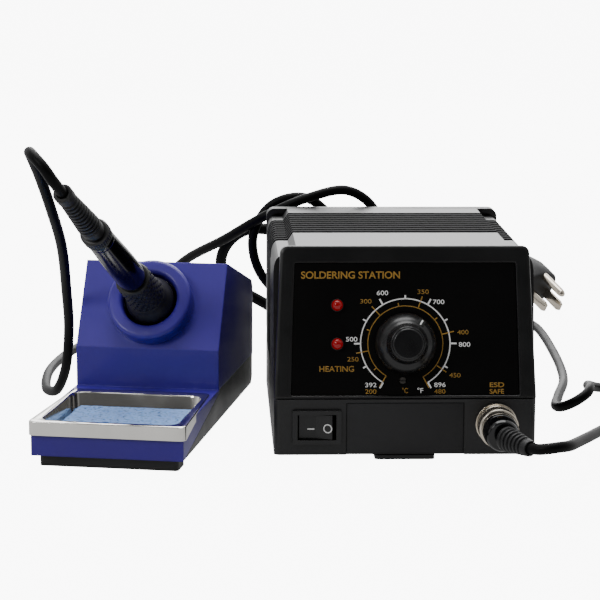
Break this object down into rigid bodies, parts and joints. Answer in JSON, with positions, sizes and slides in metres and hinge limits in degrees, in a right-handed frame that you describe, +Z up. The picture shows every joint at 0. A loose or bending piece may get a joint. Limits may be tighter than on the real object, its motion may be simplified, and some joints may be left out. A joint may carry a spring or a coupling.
{
  "type": "soldering iron station",
  "caption": "Black soldering station with leaning dial front, beside a blue iron stand with a sponge tray, the iron resting in its collar and both leads attached.",
  "frame": {"origin": "middle of the underside of the control station's front foot, on the table", "axes": "+Z up, +X to the right seen from the front, +Y towards the rear"},
  "size_m": [0.3178, 0.4894, 0.1468],
  "materials": {
    "case": "fine textured black",
    "panel": "satin black",
    "knob": "satin black, moulded",
    "gloss_black": "polished black",
    "rubber": "matt black",
    "cord": "smooth black sheath",
    "blue_paint": "satin, slightly grained",
    "steel": "polished",
    "nickel": "nickel plate",
    "brass": "turned",
    "led_red": "clear red dome",
    "marking_white": "flat white",
    "sponge": "open-pored cellulose",
    "board": "lacquered laminate",
    "core_steel": "dull laminations",
    "heat_sink": "extruded",
    "winding_tape": "tape"
  },
  "bodies": {
    "root": {"base_housing": "case", "front_foot": "rubber", "rear_foot_left": "rubber", "rear_foot_right": "rubber", "top_cover": "case", "rear_panel": "case", "mains_gland": "rubber", "fuse_holder": "gloss_black", "front_bezel": "panel", "fascia_panel": "panel", "led_power": "led_red", "led_heating": "led_red", "potentiometer": "core_steel", "potentiometer_nut": "nickel", "rocker_frame": "panel", "output_socket": "nickel", "connector_plug": "gloss_black", "connector_boot": "rubber", "transformer_core": "core_steel", "transformer_winding": "winding_tape", "transformer_bracket": "steel", "circuit_board": "board", "smoothing_capacitor": "gloss_black", "heat_sink": "heat_sink", "stand_base": "case", "stand_cover": "blue_paint", "stand_pad": "rubber", "stand_foot_left": "rubber", "stand_foot_right": "rubber", "holder_collar": "blue_paint", "holder_tube": "steel", "iron_cord_lower": "cord", "mains_cord_first": "cord", "mains_coil": "cord", "mains_plug": "rubber", "plug_blade_left": "nickel", "plug_blade_right": "nickel", "plug_earth_pin": "nickel", "mains_cord_last": "cord"},
    "knob": {"temperature_knob": "knob", "knob_pointer": "marking_white", "knob_cap": "knob", "potentiometer_shaft": "steel"},
    "rocker_body": {"rocker": "knob"},
    "calibration": {"calibration_screw": "brass"},
    "ring": {"coupling_ring": "nickel"},
    "tray": {"sponge_tray": "steel"},
    "sponge_body": {"sponge": "sponge"},
    "iron": {"iron_grip": "rubber", "iron_barrel": "gloss_black", "iron_end_nut": "panel", "iron_boot": "rubber", "tip_nut": "steel", "heater_sleeve": "steel", "soldering_tip": "steel", "iron_cord_upper": "cord"}
  },
  "joints": [
    {"name": "knob_turn", "type": "hinge", "parent": "root", "child": "knob", "pos_m": [0, -0.00348, 0.05299], "axis": [0, -0.984, 0.1781], "range_deg": [-115, 185]},
    {"name": "rocker_tilt", "type": "hinge", "parent": "root", "child": "rocker_body", "pos_m": [-0.0403, -0.005, 0.0154], "axis": [0, 0, 1], "range_deg": [0, 20]},
    {"name": "calibration_turn", "type": "hinge", "parent": "root", "child": "calibration", "pos_m": [-0.0012, -0.00647, 0.03646], "axis": [0, -0.984, 0.1781], "range_deg": [-135, 135]},
    {"name": "ring_turn", "type": "hinge", "parent": "root", "child": "ring", "pos_m": [0.0414, -0.0156, 0.0169], "axis": [0, -1, 0], "continuous": true},
    {"name": "tray_lift", "type": "slide", "parent": "root", "child": "tray", "axis": [0, 0, 1], "range_m": [0, 0.025]},
    {"name": "sponge_lift", "type": "slide", "parent": "tray", "child": "sponge_body", "axis": [0, 0, 1], "range_m": [0, 0.018]},
    {"name": "iron_lift", "type": "slide", "parent": "root", "child": "iron", "axis": [-0.268, -0.8174, 0.5099], "range_m": [0, 0.12]}
  ]
}
